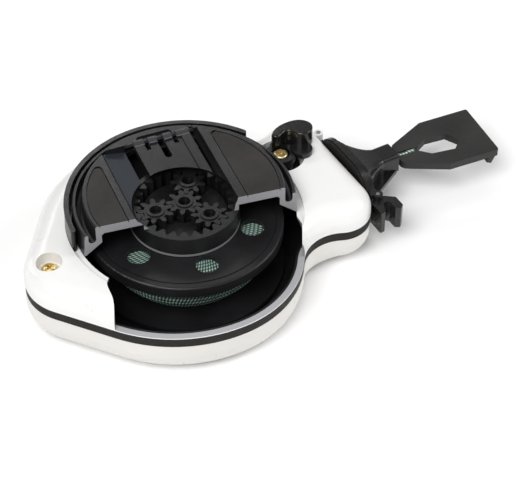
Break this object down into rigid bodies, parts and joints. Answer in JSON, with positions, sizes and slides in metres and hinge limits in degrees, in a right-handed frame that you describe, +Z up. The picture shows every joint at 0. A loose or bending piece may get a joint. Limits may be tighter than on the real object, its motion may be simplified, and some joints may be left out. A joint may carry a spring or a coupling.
{
  "type": "chalk line reel",
  "caption": "Hand chalk line reel: teardrop two-shell case with a display window, planetary crank disc with folding arm, line spool, lock lever, hinged nozzle and hook.",
  "frame": {"origin": "on the reel's axis, at the plane of the case's flat underside", "axes": "+X along the case towards the line outlet and the hook, +Z up along the crank's axis, so +Y is the side with the lock lever"},
  "size_m": [0.1785, 0.095, 0.0376],
  "materials": {
    "white_paint": "satin white stove enamel over die-cast metal, slightly rounded highlights",
    "seam_rubber": "matt black moulded rubber",
    "liner_black": "matt black moulded",
    "disc_black": "black moulded plastic with a fine satin sheen",
    "pad_grey": "dark warm grey, matt",
    "gear_black": "black moulded plastic, satin",
    "carrier_black": "matt black",
    "guard_black": "satin black",
    "spool_black": "satin black moulded plastic",
    "line_braid": "pale green and white braided cord",
    "lever_black": "glossy black",
    "brass": "yellow zinc-plated, worn satin",
    "steel": "dull steel",
    "pin_steel": "blackened steel",
    "nozzle_black": "satin black, glossy on the flare",
    "felt": "grey felt",
    "hook_black": "matt black powder coat",
    "bush_plastic": "natural acetal"
  },
  "bodies": {
    "case": {"lower_shell": "white_paint", "upper_shell": "white_paint", "seam_gasket": "seam_rubber", "upper_liner": "liner_black", "lower_liner": "liner_black", "crank_guard": "guard_black", "tail_screw": "brass", "neck_screws": "steel", "centre_shaft": "pin_steel", "gear_carrier": "carrier_black", "carrier_screws": "steel", "planet_pins": "pin_steel", "lever_washer": "lever_black", "lever_screw": "brass", "line_lead": "line_braid", "nozzle_pin": "steel"},
    "spool": {"spool": "spool_black", "spool_bushes": "bush_plastic", "sun_gear": "gear_black", "line_winding": "line_braid"},
    "planet_1": {"planet_gear_1": "gear_black"},
    "planet_2": {"planet_gear_2": "gear_black"},
    "planet_3": {"planet_gear_3": "gear_black"},
    "crank": {"crank_disc": "disc_black", "left_pad": "pad_grey", "right_pad": "pad_grey", "ring_gear": "gear_black", "arm_pin": "pin_steel"},
    "crank_arm": {"crank_arm": "disc_black", "knob_pin": "steel"},
    "crank_knob": {"crank_knob": "disc_black"},
    "lock_lever": {"lock_lever": "lever_black"},
    "nozzle": {"nozzle": "nozzle_black", "mouth_gasket": "seam_rubber", "felt_wiper": "felt", "line_eyelet": "pin_steel", "latch_pin": "steel"},
    "nozzle_latch": {"nozzle_latch": "nozzle_black"},
    "hook": {"hook": "hook_black", "line_outer": "line_braid", "line_knot": "line_braid"}
  },
  "joints": [
    {"name": "crank_spin", "type": "hinge", "parent": "case", "child": "crank", "pos_m": [0, 0, 0.033], "axis": [0, 0, 1], "continuous": true},
    {"name": "spool_spin", "type": "hinge", "parent": "case", "child": "spool", "pos_m": [0, 0, 0.014], "axis": [0, 0, 1], "continuous": true},
    {"name": "planet_1_spin", "type": "hinge", "parent": "case", "child": "planet_1", "pos_m": [0.00594, 0.00848, 0.0303], "axis": [0, 0, 1], "continuous": true},
    {"name": "planet_2_spin", "type": "hinge", "parent": "case", "child": "planet_2", "pos_m": [-0.01031, 0.0009, 0.0303], "axis": [0, 0, 1], "continuous": true},
    {"name": "planet_3_spin", "type": "hinge", "parent": "case", "child": "planet_3", "pos_m": [0.00437, -0.00938, 0.0303], "axis": [0, 0, 1], "continuous": true},
    {"name": "crank_arm_fold", "type": "hinge", "parent": "crank", "child": "crank_arm", "pos_m": [0.00662, 0.02916, 0.0354], "axis": [-0.9903, 0.1392, 0], "range_deg": [0, 180]},
    {"name": "knob_spin", "type": "hinge", "parent": "crank_arm", "child": "crank_knob", "pos_m": [0.01084, 0.02322, 0.031], "axis": [0, 0, 1], "continuous": true},
    {"name": "lock_lever_turn", "type": "hinge", "parent": "case", "child": "lock_lever", "pos_m": [0.0429, 0.0097, 0.024], "axis": [0, 0, -1], "range_deg": [0, 35]},
    {"name": "nozzle_open", "type": "hinge", "parent": "case", "child": "nozzle", "pos_m": [0.0639, 0.0189, 0.0154], "axis": [0, 0, 1], "range_deg": [0, 95]},
    {"name": "latch_release", "type": "hinge", "parent": "nozzle", "child": "nozzle_latch", "pos_m": [0.0656, -0.0179, 0.0138], "axis": [0, 0, 1], "range_deg": [0, 12], "stiffness_Nm_per_rad": 0.002},
    {"name": "hook_pull", "type": "slide", "parent": "nozzle", "child": "hook", "axis": [1, 0, 0], "range_m": [0, 0.02]}
  ],
  "couplings": [
    {"joint": "spool_spin", "follows": "crank_spin", "ratio": -3},
    {"joint": "planet_1_spin", "follows": "crank_spin", "ratio": 3},
    {"joint": "planet_2_spin", "follows": "crank_spin", "ratio": 3},
    {"joint": "planet_3_spin", "follows": "crank_spin", "ratio": 3}
  ]
}
